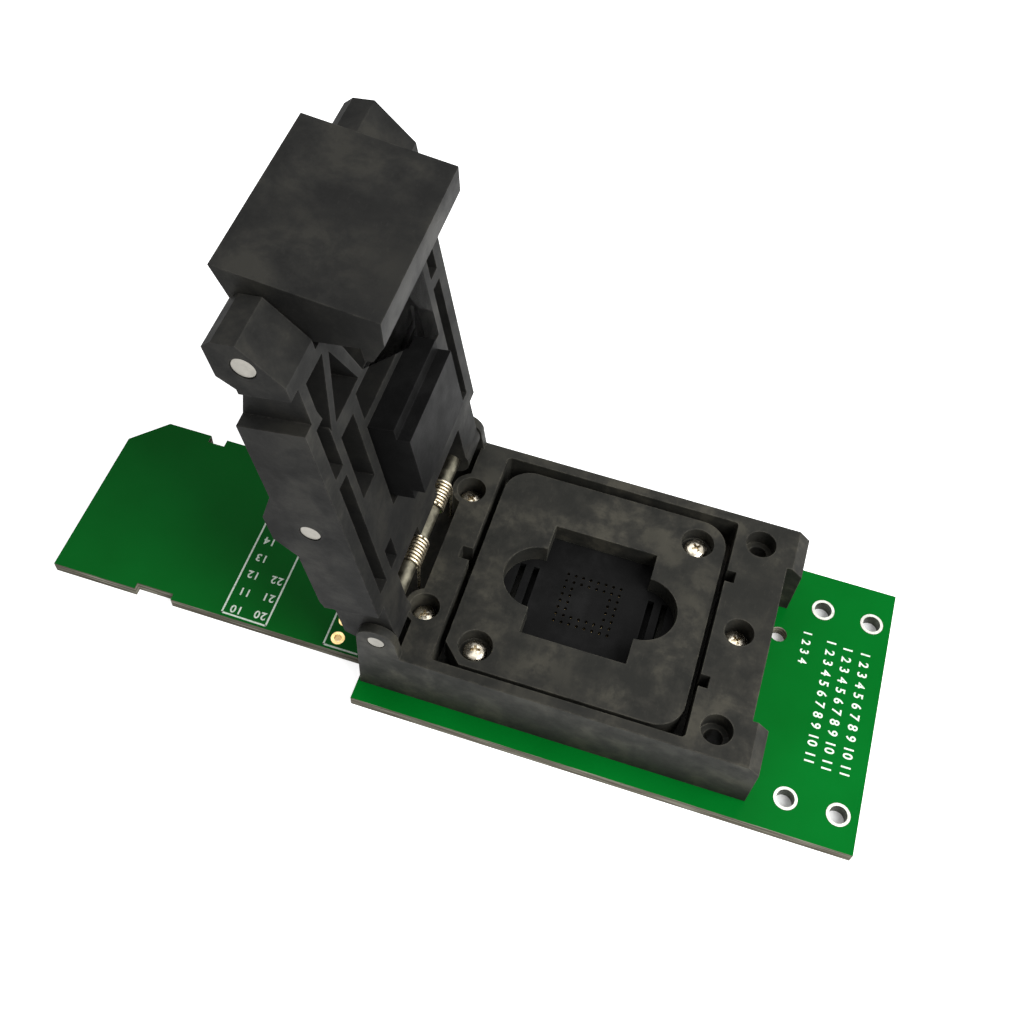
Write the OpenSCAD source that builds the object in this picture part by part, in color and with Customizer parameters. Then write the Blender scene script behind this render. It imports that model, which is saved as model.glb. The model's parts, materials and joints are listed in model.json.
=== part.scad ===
// Clamshell ZIF test socket for a ball-grid chip, screwed to a card-edge adapter board.
// Millimetres. The origin is the middle of the board's underside, X runs from the
// card-edge tongue to the wide end, +Z is up. The lid is drawn open against its stop.

/* [Board] */
// Length of the whole board
board_l = 99.8; // [99:0.2:112]
// Width of the board's wide end
board_w = 34.6; // [34.2:0.2:44]
// Thickness of the board
board_t = 1.6; // [1.2:0.1:2.4]
// Length of the narrow card-edge tongue
tongue_l = 40.6; // [34:0.2:41]
// Width of the tongue
tongue_w = 24; // [22:0.5:30]
// How far the tongue's middle lies off the board's middle
tongue_shift = -0.25; // [-2:0.05:2]
// Size of the corner cut off the tongue's tip
tip_cut = 4; // [1:0.5:6]
// Radius of the inner corners where the tongue meets the wide end
throat_r = 0.8; // [0.3:0.1:2]

/* [Board holes] */
// Bore radius of the plated corner holes
corner_hole_r = 1.05; // [0.6:0.05:1.4]
// Distance of the corner holes from each other along the board
corner_pitch_x = 6.05; // [5:0.05:7]
// Distance of the corner holes from each other across the board
corner_pitch_y = 25.5; // [20:0.1:28]
// Distance from the wide end to the outer pair of corner holes
corner_end = 2.35; // [2:0.05:3]
// Number of plated holes in the header row
header_n = 8; // [3:1:8]
// Distance from one header hole to the next
header_pitch = 2.54; // [2:0.01:2.54]
// Distance from the tongue's edge to the first header hole
header_edge = 1.7; // [1.6:0.05:2.5]
// Bore radius of a header hole
header_hole_r = 0.45; // [0.3:0.05:0.6]
// Wall of the plated sleeves in the board's holes
sleeve_wall = 0.25; // [0.1:0.05:0.3]

/* [Socket base] */
// Length of the socket base along the board
base_l = 46.1; // [46:0.1:49.8]
// Width of the socket base
base_w = 31.6; // [31.4:0.1:32.8]
// Height of the socket base above the board
base_h = 8.8; // [8.6:0.1:9]
// Distance from the base's front to the board's wide end
base_end = 12.75; // [11:0.05:13.2]
// How far the base's middle lies off the board's middle
base_shift = 0.85; // [0:0.05:1]
// Depth of the notch in the front that the latch drops into
latch_notch = 2.05; // [1.6:0.05:2.2]
// Size of the slope on the front of the two corner blocks
corner_slope = 1.4; // [0.5:0.1:1.8]
// Radius of the two counterbores at the front
counterbore_r = 1.8; // [1.5:0.05:1.9]
// Depth of the two counterbores
counterbore_depth = 2.4; // [1:0.1:4]
// Radius of the bolt holes through base and board
bolt_hole_r = 1.1; // [0.8:0.05:1.3]
// Distance between the two bolt holes
bolt_pitch = 25; // [24:0.1:25.4]

/* [Nest] */
// Width and length of the floating nest plate
nest_size = 27.7; // [27.2:0.1:27.8]
// Thickness of the nest plate
nest_t = 3.5; // [3.2:0.1:3.6]
// Gap between the nest plate and the rim
nest_gap = 0.7; // [0.4:0.05:0.8]
// How far the nest's top lies below the base's top
nest_drop = 0.7; // [0.5:0.05:0.9]
// How far the nest plate can be pressed down
nest_travel = 0.8; // [0.4:0.05:0.85]
// Radius of three of the nest's corners
nest_corner_r = 3.4; // [2:0.1:4]
// Size of the slanted corner that keys the nest
nest_key = 2.3; // [1:0.1:3]
// How far the pocket and the nest's screws lie off the nest's middle
nest_shift = -0.2; // [-0.3:0.05:0.3]

/* [Chip pocket] */
// Length of the pocket along the board
pocket_x = 12.5; // [12.2:0.1:13.4]
// Width of the pocket across the board
pocket_y = 15; // [13.6:0.1:15.4]
// Depth of the pocket below the nest's top
pocket_depth = 2.8; // [2.4:0.1:2.85]
// Radius of the finger cut-outs
finger_r = 4.1; // [3.5:0.1:4.6]
// Contacts along one side of the field
contact_n = 8; // [6:1:9]
// Contacts left out along one side of the field's middle
contact_void = 4; // [2:1:4]
// Distance from one contact to the next
contact_pitch = 0.93; // [0.8:0.01:1]
// Radius of a contact pin
contact_r = 0.15; // [0.1:0.01:0.18]

/* [Hinge] */
// Height of the hinge axis above the board
hinge_h = 11.2; // [11.1:0.05:11.6]
// Radius of the hinge shaft
shaft_r = 1; // [0.8:0.05:1.1]
// Radius of the base's hinge ears
ear_r = 2.3; // [2:0.05:2.4]
// Thickness of the base's hinge ears
ear_t = 1.1; // [0.9:0.05:1.3]
// Angle between the lid's open and closed positions
open_angle = 101; // [92:1:104]
// Wire radius of the lid spring
spring_wire_r = 0.18; // [0.12:0.01:0.2]
// Whole turns in each coil of the lid spring
spring_turns = 7; // [4:1:8]
// How far the lid spring's middle lies off the base's middle
spring_shift = 0.55; // [-1:0.05:1]

/* [Lid] */
// Width of the lid
lid_w = 32; // [31.8:0.1:32.6]
// Depth of the lid's underside below the hinge axis
lid_under = 1.9; // [1.8:0.05:2.15]
// Height of the lid's top above the hinge axis
lid_over = 4.9; // [4.6:0.05:5.4]
// Height of the raised bar above the hinge axis
lid_bar = 6.8; // [6.6:0.05:7.4]
// Thickness of the lid's side walls
lid_wall = 1.8; // [1.4:0.1:2]
// How far the hinge end of the side walls lies from the axis
lid_start = 6.2; // [5.8:0.1:7]
// Depth of the step in the side walls next to the latch ears
ear_step = 1.5; // [0.6:0.1:1.7]
// Height of the lid's back at its latch end, above the hinge axis
neck_over = 3.2; // [3.1:0.05:4]
// Thickness of the lid's top over its pockets
lid_skin = 2; // [1.4:0.1:2.2]

/* [Pusher] */
// Length of the pressing foot
foot_l = 8.2; // [6:0.1:9]
// Width of the pressing foot
foot_w = 12.3; // [9:0.1:12.5]
// Height of the foot below the shoulder
foot_h = 1.4; // [1:0.1:1.8]
// Length of the pusher's shoulder
shoulder_l = 11; // [10:0.1:11.2]
// Gap between the foot and the pocket's floor when the lid is shut empty
foot_gap = 0.25; // [0.2:0.05:0.4]
// Radius of the pin that the pusher rocks on
pusher_pin_r = 1.1; // [0.8:0.05:1.2]
// Height of the pusher pin above the hinge axis
pusher_pin_h = 2.1; // [1.9:0.05:2.2]

/* [Latch] */
// Width of the latch
latch_w = 20; // [16:0.1:20.4]
// Radius of the latch pin
latch_pin_r = 1.2; // [0.9:0.05:1.3]
// Height of the latch pin above the hinge axis
latch_pin_h = 1.5; // [1.4:0.05:1.8]
// How far the latch's front stands out at its top
latch_lean = 5.4; // [4.6:0.1:5.6]
// Distance of each latch spring from the lid's middle
latch_spring_y = 6; // [3:0.1:6.5]
// How far the hook reaches under the base's ledge
hook_reach = 1.3; // [0.8:0.05:1.4]
// Height of the base's ledge above the board
ledge_h = 5.2; // [4.6:0.1:5.4]

/* [Screws] */
// Head radius of the small cross-head screws
head_r = 1.4; // [1.1:0.05:1.5]
// Head height of the small cross-head screws
head_h = 1; // [0.6:0.05:1.1]
// Shank radius of the small cross-head screws
shank_r = 0.8; // [0.5:0.05:0.85]
// Distance from the nest's middle to its screws along the board
nest_screw_x = 10.45; // [10.4:0.05:11]
// Distance from the nest's middle to its screws across the board
nest_screw_y = 10.8; // [10.7:0.05:11.3]
// Distance between the two base screws beside the hinge
hinge_screw_pitch = 17; // [16.4:0.1:17.4]

/* [Hidden] */

run = 0.05;       // radial clearance of a turning fit
seat = 0.02;      // clearance where one piece rests in another
slide = 0.1;      // clearance of a sliding fit
eps = 0.01;
$fn = 48;

plastic = [0.13, 0.13, 0.12];
plastic_dark = [0.08, 0.08, 0.08];
steel = [0.75, 0.75, 0.73];
gold = [0.85, 0.66, 0.3];
green = [0.02, 0.36, 0.12];

// Places along the board, from the board's middle.
board_x0 = -board_l / 2;
throat_x = board_x0 + tongue_l;
base_x1 = board_l / 2 - base_end;
base_x0 = base_x1 - base_l;
hinge_x = base_x0 + ear_r;
hinge_z = board_t + hinge_h;
deck_x = base_x0 + 2 * ear_r;               // where the base's full-height block starts
base_top = board_t + base_h;
recess = nest_size + 2 * nest_gap;
recess_x1 = base_x1 - 8.75;
nest_x = recess_x1 - recess / 2;
header_x = min(throat_x, base_x0) - 4.2;    // header row, clear of the base
corner_shift = -0.35;                       // corner holes off the board's middle
nest_top = base_top - nest_drop;
nest_z = nest_top - nest_t;
floor_z = nest_top - pocket_depth;          // top of the pocket's floor
floor_t = floor_z - nest_z;
recess_z = nest_z - nest_travel - 0.2;      // floor of the base's recess
ear_in = base_w / 2 - ear_t;                // inner face of the hinge ears

// Fastener places in the base.
head_z = base_top - 1.9;                    // top of the base screws' heads
hinge_screw_x = deck_x + 0.85;
front_screw_x = base_x1 - 5.7;
screw_at = [[hinge_screw_x, -hinge_screw_pitch / 2], [hinge_screw_x, hinge_screw_pitch / 2],
            [front_screw_x, 0]];
screw_seat_r = head_r + 0.3;
boss_r = screw_seat_r + 0.65;
bolt_x = base_x1 - 5.6;
pin_at = [[bolt_x, -6.5], [bolt_x, 6.5]];   // locating pins
pin_r = 0.6;
nut_r = shank_r + 0.7;
nest_screw_at = [[nest_screw_x, nest_screw_y], [-nest_screw_x, -nest_screw_y]];
nest_head_z = nest_top - 1;                 // top of the nest screws' heads
nest_shoulder_r = shank_r + 0.2;
nest_seat_r = head_r + 0.55;
nest_thread = 2;                            // thread length below the recess floor

// Contact block under the nest, and the pocket's floor plate in the nest.
insert_x = pocket_x + 2 * finger_r + 1;
insert_y = pocket_y + 2;
window = insert_y + 0.2;                    // opening in the recess floor
flange = window + 2;                        // wider foot of the contact block
retainer_t = 0.9;
flange_t = 1;
retainer_z = board_t + 0.1;
flange_z = retainer_z + retainer_t;
block_top = nest_z - nest_travel - slide;
pad_t = 0.05;
contact_hole_r = contact_r + 0.05;
contact_tip = floor_z - 0.5;
nest_spring_r = 1;
nest_spring_y = window / 2 + nest_spring_r + 0.65;
nest_spring_at = [for (x = [-5.5, 5.5], y = [-nest_spring_y, nest_spring_y]) [x, y]];
nest_spring_pocket = 1;                     // depth of a spring's seat in either plate

// Sizes of the lid, and places along it from the hinge axis.
pusher_u = nest_x - hinge_x;
notch_u = base_x1 - latch_notch - hinge_x;
latch_u = notch_u + 2.65;                   // latch pin
lid_end = latch_u - 3;                      // lid's end between its ears
ear_u = latch_u - 3.5;                      // where the latch ears start
step_u = latch_u - 8.1;                     // where the side step starts
ear_tip_u = latch_u + 2.8;                  // furthest reach of the latch ears
ear_y = latch_w / 2 + 0.3;                  // inner face of the latch ears
cavity_l = shoulder_l + 1.6;
cavity_w = foot_w + 1.3;
pocket_w = lid_over - lid_skin;             // height that the lid's pockets reach
arm_in = base_w / 2 - ear_t - 4.5;
arm_out = ear_in - 0.15;

// Pusher heights, from the hinge axis.
foot_face = floor_z + foot_gap - hinge_z;
shoulder_face = foot_face + foot_h;
shoulder_top = pusher_pin_h + 0.3;
pusher_top = pusher_pin_h + 1.9;
cap_l = 6.4;                                // length of the part above the shoulder
cavity_top = pusher_top + 1.1;
pusher_spring_r = 0.65;
pusher_spring_u = 2.15;
pusher_seat = 1;                            // depth of a pusher spring's seat

// Latch springs, seated in the lid's end and in the latch.
latch_spring_h = latch_pin_h + 0.6;
latch_spring_r = 0.6;
latch_spring_u = lid_end - 0.7;             // bottom of the seat in the lid
latch_seat_u = notch_u + 1.05;              // bottom of the seat in the latch

// Lid spring on the hinge shaft. Its legs leave the coils along a tangent.
coil_r = shaft_r + 0.08 + spring_wire_r;    // to the middle of the wire
coil_pitch = 2 * spring_wire_r + 0.1;
coil_turns = spring_turns + 1 / 6;
coil_in = 2.45;                             // inner end of each coil
coil_out = coil_in + coil_turns * coil_pitch;
shelf_z = board_t + 5.2;                    // deck under the hinge
stop_z = hinge_z - 2.65;                    // top of the two lid stops
bridge_leg = 1;                             // length of the legs up to the spring's bridge
bridge_x = coil_r * cos(60) - bridge_leg * sin(60);
bridge_z = coil_r * sin(60) + bridge_leg * cos(60);
bridge_reach = norm([bridge_x, bridge_z]) + spring_wire_r;

// ---- helpers ----

// Extrudes an outline drawn in X and Z across the given width.
module across(width) {
  rotate([90, 0, 0]) linear_extrude(height = width, center = true) children();
}

// Cylinder along Y, between two stations.
module cross_pin(r, y0, y1) {
  translate([0, y0, 0]) rotate([-90, 0, 0]) cylinder(r = r, h = y1 - y0);
}

// Square with rounded corners.
module round_square(size_x, size_y, r) {
  hull() for (x = [-1, 1], y = [-1, 1])
    translate([x * (size_x / 2 - r), y * (size_y / 2 - r)]) circle(r = r);
}

// The lid's own frame: X from the hinge axis to the latch, Z out of the lid's top.
module lid_pose() {
  translate([hinge_x, base_shift, hinge_z]) rotate([0, -open_angle, 0]) children();
}

// The frame of the chip pocket, at the board's underside.
module nest_place() {
  translate([nest_x, base_shift + nest_shift, 0]) children();
}

// Wire coil around Z, starting at z = 0, swept with six sides.
module coil(r, wire_r, pitch, turns, steps = 14) {
  n = round(turns * steps);
  ring = [for (i = [0:n]) let (a = 360 * i / steps, z = pitch * i / steps)
          for (k = [0:5]) let (b = 60 * k, d = r + wire_r * cos(b))
          [d * cos(a), d * sin(a), z + wire_r * sin(b)]];
  sides = [for (i = [0:n - 1], k = [0:5]) let (m = (k + 1) % 6)
           [6 * i + k, 6 * i + m, 6 * i + 6 + m, 6 * i + 6 + k]];
  polyhedron(points = ring, faces = concat([[for (k = [5:-1:0]) k]], sides,
             [[for (k = [0:5]) 6 * n + k]]), convexity = 10);
}

// Cross-head screw, top of its head at z = 0.
module cross_screw(length, shoulder = 0) {
  difference() {
    union() {
      translate([0, 0, -head_h]) cylinder(r = head_r, h = head_h * 0.55);
      translate([0, 0, -head_h * 0.45]) cylinder(r = head_r * 0.82, h = head_h * 0.45);
      translate([0, 0, -length]) cylinder(r = shank_r, h = length - head_h + eps);
      if (shoulder > 0)
        translate([0, 0, -head_h - shoulder]) cylinder(r = nest_shoulder_r, h = shoulder + eps);
    }
    for (a = [0, 90]) rotate([0, 0, a + 30])
      translate([0, 0, 0]) cube([head_r * 1.1, head_r * 0.28, head_h], center = true);
  }
}

module contact_field() {
  gap = (contact_n - contact_void) / 2;
  start = -(contact_n - 1) / 2 * contact_pitch;
  for (i = [0:contact_n - 1], j = [0:contact_n - 1])
    if (i < gap || i >= contact_n - gap || j < gap || j >= contact_n - gap)
      translate([start + i * contact_pitch, start + j * contact_pitch, 0]) children();
}

module corner_places() {
  x = board_l / 2 - corner_end - corner_pitch_x / 2;
  for (i = [-1, 1], j = [-1, 1])
    translate([x + i * corner_pitch_x / 2, corner_shift + j * corner_pitch_y / 2, 0]) children();
}

module header_places() {
  for (i = [0:header_n - 1])
    translate([header_x, tongue_shift - tongue_w / 2 + header_edge + i * header_pitch, 0])
      children();
}

// ---- board ----

module board_outline() {
  y0 = tongue_shift - tongue_w / 2;
  y1 = tongue_shift + tongue_w / 2;
  difference() {
    union() {
      translate([throat_x, -board_w / 2]) square([board_l / 2 - throat_x, board_w]);
      polygon([[board_x0, y0], [throat_x + 1, y0], [throat_x + 1, y1],
               [board_x0 + tip_cut, y1], [board_x0, y1 - tip_cut]]);
      translate([throat_x - throat_r, y0 - throat_r])
        square([throat_r + 1, tongue_w + 2 * throat_r]);
    }
    for (y = [y0 - throat_r, y1 + throat_r])
      translate([throat_x - throat_r, y]) circle(r = throat_r);
    // card lock notch and write-protect notch
    translate([board_x0 + 9.9, y1 - 1.05]) square([2.2, 2]);
    translate([board_x0 + 10.75, y0 - 1]) square([4.7, 1.8]);
  }
}

module circuit_board() {
  color(green) difference() {
    linear_extrude(height = board_t) board_outline();
    translate([0, 0, -1]) {
      corner_places() cylinder(r = corner_hole_r + sleeve_wall, h = board_t + 2);
      header_places() cylinder(r = header_hole_r + sleeve_wall, h = board_t + 2);
      translate([0, base_shift, 0]) {
        for (s = [-1, 1]) translate([bolt_x, s * bolt_pitch / 2, 0])
          cylinder(r = bolt_hole_r, h = board_t + 2);
        for (p = screw_at) translate(p) cylinder(r = nut_r, h = board_t + 2);
        for (p = pin_at) translate(p) cylinder(r = pin_r + seat, h = board_t + 2);
      }
    }
    translate([base_x1 - 0.3, 7.3, -1]) cylinder(r = 1, h = board_t + 2);
    card_pads(0.05);
  }
}

module card_pads(depth) {
  for (i = [0:7])
    translate([board_x0 + (i == 7 ? 5 : 1), tongue_shift - tongue_w / 2 + 2.2 + i * 2.5, 0])
      translate([0, 0, -(depth > 0.049 ? 0 : 1)]) cube([5, 1.6, depth]);
}

module card_contacts() {
  color(gold) card_pads(0.05);
}

module sleeve(bore) {
  difference() {
    cylinder(r = bore + sleeve_wall, h = board_t);
    translate([0, 0, -1]) cylinder(r = bore, h = board_t + 2);
  }
}

module header_sleeves() {
  color(gold) header_places() sleeve(header_hole_r);
}

module corner_sleeves() {
  color(steel) corner_places() sleeve(corner_hole_r);
}

module landing_pads() {
  color(gold) nest_place() contact_field()
    translate([0, 0, board_t]) cylinder(r = contact_r + 0.1, h = pad_t);
}

// ---- socket base ----

module base_ear() {
  across(ear_t) {
    translate([hinge_x, hinge_z]) circle(r = ear_r);
    polygon([[base_x0, board_t], [base_x0, hinge_z], [hinge_x + ear_r, hinge_z],
             [deck_x + 0.4, base_top], [deck_x + 0.4, board_t]]);
  }
}

module base_solid() {
  translate([deck_x, -base_w / 2, board_t])
    cube([base_x1 - deck_x, base_w, base_h]);
  translate([base_x0, -base_w / 2, board_t])
    cube([deck_x - base_x0 + eps, base_w, shelf_z - board_t]);
  for (s = [-1, 1]) {
    translate([0, s * (base_w / 2 - ear_t / 2), 0]) base_ear();
    // lid stops between the ears
    translate([base_x0, s * (arm_in + arm_out) / 2 - 1.8, shelf_z - eps])
      cube([1.1, 3.6, stop_z - shelf_z]);
    translate([hinge_screw_x, s * hinge_screw_pitch / 2, board_t]) cylinder(r = boss_r, h = base_h);
  }
}

// Slope along the top of the front, and the notch that the latch drops into.
module base_front_cuts() {
  translate([base_x1, 0, base_top]) across(base_w + 2)
    polygon([[-corner_slope, 1], [-corner_slope, 0], [0, -corner_slope * 0.9], [1, -corner_slope],
             [1, 1]]);
  notch_w = latch_w + 0.5;
  translate([base_x1 - latch_notch, -notch_w / 2, board_t - 1]) cube([10, notch_w, base_h + 2]);
  // undercut below the ledge that the hook catches
  translate([base_x1 - latch_notch - hook_reach - 0.5, -notch_w / 2, board_t - 1])
    cube([10, notch_w, ledge_h + 1]);
}

module base_frame() {
  color(plastic) translate([0, base_shift, 0]) difference() {
    base_solid();
    base_front_cuts();
    translate([nest_x, 0, recess_z]) linear_extrude(height = base_h) round_square(recess, recess, 0.5);
    translate([nest_x, nest_shift, 0]) {
      translate([-window / 2, -window / 2, board_t - 1]) cube([window, window, base_h]);
      translate([-flange / 2, -flange / 2, board_t - 1])
        cube([flange, flange, flange_z + flange_t + seat - board_t + 1]);
      for (p = nest_spring_at) translate([p[0], p[1], recess_z - nest_spring_pocket])
        cylinder(r = nest_spring_r + 0.3, h = base_h);
      for (p = nest_screw_at) translate([p[0], p[1], recess_z - nest_thread - 0.2])
        cylinder(r = shank_r + seat, h = base_h);
      // relief notches in the recess wall
      for (y = [-7.1, 7.1]) translate([recess / 2 - eps, y - 0.75, recess_z])
        cube([1.1, 1.5, base_h]);
      translate([-recess / 2 - 1.3, -0.8, recess_z]) cube([1.31, 1.6, base_h]);
    }
    for (p = screw_at) translate(p) {
      translate([0, 0, head_z - head_h]) cylinder(r = screw_seat_r, h = base_h);
      translate([0, 0, board_t - 1]) cylinder(r = shank_r + 0.1, h = base_h);
    }
    for (s = [-1, 1]) translate([bolt_x, s * bolt_pitch / 2, 0]) {
      translate([0, 0, base_top - counterbore_depth]) cylinder(r = counterbore_r, h = base_h);
      translate([0, 0, board_t - 1]) cylinder(r = bolt_hole_r, h = base_h + 2);
    }
    for (p = pin_at) translate([p[0], p[1], board_t - 1]) cylinder(r = pin_r + seat, h = 4.1);
    translate([hinge_x, 0, hinge_z]) cross_pin(shaft_r + seat, -base_w, base_w);
  }
}

module pin_carrier() {
  color(plastic_dark) nest_place() difference() {
    union() {
      translate([-flange / 2 + slide, -flange / 2 + slide, flange_z])
        cube([flange - 2 * slide, flange - 2 * slide, flange_t]);
      translate([-window / 2 + slide, -window / 2 + slide, flange_z])
        cube([window - 2 * slide, window - 2 * slide, block_top - flange_z]);
    }
    contact_field() translate([0, 0, board_t]) cylinder(r = contact_hole_r, h = base_h, $fn = 16);
  }
}

module retainer_plate() {
  color(plastic_dark) nest_place() difference() {
    translate([-flange / 2 + slide, -flange / 2 + slide, retainer_z])
      cube([flange - 2 * slide, flange - 2 * slide, retainer_t]);
    contact_field() translate([0, 0, board_t]) cylinder(r = contact_hole_r, h = base_h, $fn = 16);
  }
}

module contact_pins() {
  color(gold) nest_place() contact_field()
    translate([0, 0, board_t + pad_t])
      cylinder(r = contact_r, h = contact_tip - board_t - pad_t, $fn = 16);
}

module locating_pins() {
  color(steel) translate([0, base_shift, 0]) for (p = pin_at)
    translate([p[0], p[1], 0.2]) cylinder(r = pin_r, h = board_t + 2.8);
}

module clinch_nuts() {
  color(steel) translate([0, base_shift, 0]) for (p = screw_at) translate(p) difference() {
    cylinder(r = nut_r, h = board_t);
    translate([0, 0, -1]) cylinder(r = shank_r + seat, h = board_t + 2);
  }
}

module base_screws() {
  color(steel) translate([0, base_shift, 0]) for (p = screw_at)
    translate([p[0], p[1], head_z + seat]) cross_screw(head_z + seat - 0.1);
}

// ---- floating nest ----

module nest_outline() {
  h = nest_size / 2;
  difference() {
    round_square(nest_size, nest_size, nest_corner_r);
    polygon([[-h - 1, -h - 1], [-h + nest_key, -h - 1], [-h + nest_key, -h],
             [-h, -h + nest_key], [-h - 1, -h + nest_key]]);
  }
  // the slanted corner replaces the round one
  polygon([[-h, -h + nest_key], [-h + nest_key, -h], [0, -h], [0, 0], [-h, 0]]);
}

module nest_plate() {
  color(plastic) nest_place() difference() {
    translate([0, -nest_shift, nest_z]) linear_extrude(height = nest_t) nest_outline();
    translate([-pocket_x / 2, -pocket_y / 2, nest_z - 1]) cube([pocket_x, pocket_y, nest_t + 2]);
    for (s = [-1, 1]) translate([s * pocket_x / 2, 0, nest_z - 1])
      cylinder(r = finger_r, h = nest_t + 2);
    translate([-insert_x / 2, -insert_y / 2, nest_z - 1]) cube([insert_x, insert_y, floor_t + 1]);
    for (p = nest_screw_at) translate(p) {
      translate([0, 0, nest_head_z - head_h - seat]) cylinder(r = nest_seat_r, h = nest_t);
      translate([0, 0, nest_z - 1]) cylinder(r = nest_shoulder_r + run, h = nest_t + 2);
    }
    for (p = nest_spring_at) translate([p[0], p[1], nest_z - 1])
      cylinder(r = nest_spring_r + 0.3, h = nest_spring_pocket + 1);
  }
}

module nest_floor() {
  rib = finger_r / 4.9;                     // spacing of the slots in the finger cut-outs
  color(plastic_dark) nest_place() difference() {
    translate([-insert_x / 2 + seat, -insert_y / 2 + seat, nest_z])
      cube([insert_x - 2 * seat, insert_y - 2 * seat, floor_t]);
    contact_field() translate([0, 0, board_t]) cylinder(r = contact_hole_r, h = base_h, $fn = 16);
    for (s = [-1, 1], i = [1, 3])
      translate([s * (pocket_x / 2 + i * rib), 0, nest_z])
        cube([rib * 0.9, finger_r * 1.4, 3], center = true);
  }
}

module nest_screws() {
  shoulder = nest_head_z - head_h - recess_z;
  color(steel) nest_place() for (p = nest_screw_at)
    translate([p[0], p[1], nest_head_z]) cross_screw(nest_head_z - recess_z + nest_thread, shoulder);
}

module nest_springs() {
  length = nest_z - recess_z + 2 * nest_spring_pocket;
  turns = 4;
  wire = 0.16;
  color(steel) nest_place() for (p = nest_spring_at)
    translate([p[0], p[1], recess_z - nest_spring_pocket + wire + seat])
      coil(nest_spring_r - wire, wire, (length - 2 * wire - 2 * seat) / turns, turns, 10);
}

// ---- hinge ----

module hinge_shaft() {
  color(steel) translate([hinge_x, base_shift, hinge_z])
    cross_pin(shaft_r, -base_w / 2 + 0.05, base_w / 2 - 0.05);
}

// Stations along one half of the lid spring, from its bridge outwards: the middle of
// the wire, and the two directions that span its section there.
function spring_half(s, steps = 12) = concat(
  [[[bridge_x, s * coil_in, bridge_z], [cos(60), 0, sin(60)], [-sin(60), s, cos(60)]]],
  [for (i = [0:round(coil_turns * steps)]) let (a = 60 - 360 * i / steps)
    [[coil_r * cos(a), s * (coil_in + coil_pitch * i / steps), coil_r * sin(a)],
     [cos(a), 0, sin(a)], [0, s, 0]]],
  [[[coil_r, s * coil_out, shelf_z - hinge_z + seat], [1, 0, 0], [0, s, 0]]]);

// One wire: a foot, a coil, the bridge that bears on the lid, the other coil and foot.
module lid_spring() {
  half = spring_half(1);
  path = concat([for (i = [len(half) - 1:-1:0]) half[i]], spring_half(-1));
  ring = [for (p = path, k = [0:5])
          p[0] + spring_wire_r * (cos(60 * k) * p[1] + sin(60 * k) * p[2])];
  sides = [for (i = [0:len(path) - 2], k = [0:5]) let (m = (k + 1) % 6)
           [6 * i + k, 6 * i + 6 + k, 6 * i + 6 + m, 6 * i + m]];
  color(gold) translate([hinge_x, base_shift + spring_shift, hinge_z])
    polyhedron(points = ring, faces = concat([[for (k = [0:5]) k]], sides,
               [[for (k = [5:-1:0]) 6 * (len(path) - 1) + k]]), convexity = 10);
}

// ---- lid ----

// Side outline of the lid between its side walls' ends, with the bar over the pusher.
module lid_side() {
  polygon([[lid_start, -lid_under], [step_u, -lid_under], [step_u, lid_over],
           [pusher_u + 5.2, lid_over], [pusher_u + 1.5, lid_bar], [pusher_u - 2.2, lid_bar],
           [pusher_u - 4.75, lid_over - 0.15], [lid_start + 0.9, lid_over - 0.15],
           [lid_start - 0.15, lid_over - 0.45]]);
}

// Side outline of the narrower neck between the step and the latch ears.
module neck_side() {
  polygon([[step_u - 1, -lid_under], [lid_end, -lid_under], [lid_end, neck_over],
           [step_u, lid_over], [step_u - 1, lid_over]]);
}

module latch_ear_side() {
  polygon([[ear_u, -lid_under], [latch_u - 1.8, -lid_under], [ear_tip_u - 0.1, latch_pin_h - 0.1],
           [ear_tip_u, latch_pin_h + 2.1], [ear_tip_u - 0.7, latch_pin_h + 3.2],
           [latch_u - 1.5, latch_pin_h + 3.1], [latch_u - 2.9, neck_over - 0.1],
           [ear_u, neck_over - 0.1]]);
}

// Arm that turns on the shaft, with the corner that meets the lid stop.
module arm_side() {
  difference() {
    union() {
      circle(r = 2.15);
      polygon([[-2, 3.2], [-1.2, lid_over - 0.4], [lid_start + 1, lid_over - 0.4],
               [lid_start + 1, -lid_under], [0, -lid_under], [-2.1, 0.4]]);
    }
    circle(r = shaft_r + run);
  }
}

module lid_solid() {
  across(lid_w) lid_side();
  across(lid_w - 2 * ear_step) neck_side();
  for (s = [-1, 1]) {
    translate([0, s * (lid_w / 2 + ear_y) / 2, 0]) across(lid_w / 2 - ear_y) latch_ear_side();
    translate([0, s * (arm_in + arm_out) / 2, 0]) across(arm_out - arm_in) arm_side();
  }
  // hood behind the spring, and the rib that the spring's bridge bears on
  translate([-0.8, -arm_in - 1, 2.6]) cube([lid_start + 1.8, 2 * arm_in + 2, lid_over - 3]);
  translate([bridge_reach + 0.3, spring_shift - coil_in - 0.5, -0.9])
    cube([lid_start - bridge_reach + 0.7, 2 * coil_in + 1, 4]);
}

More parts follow.
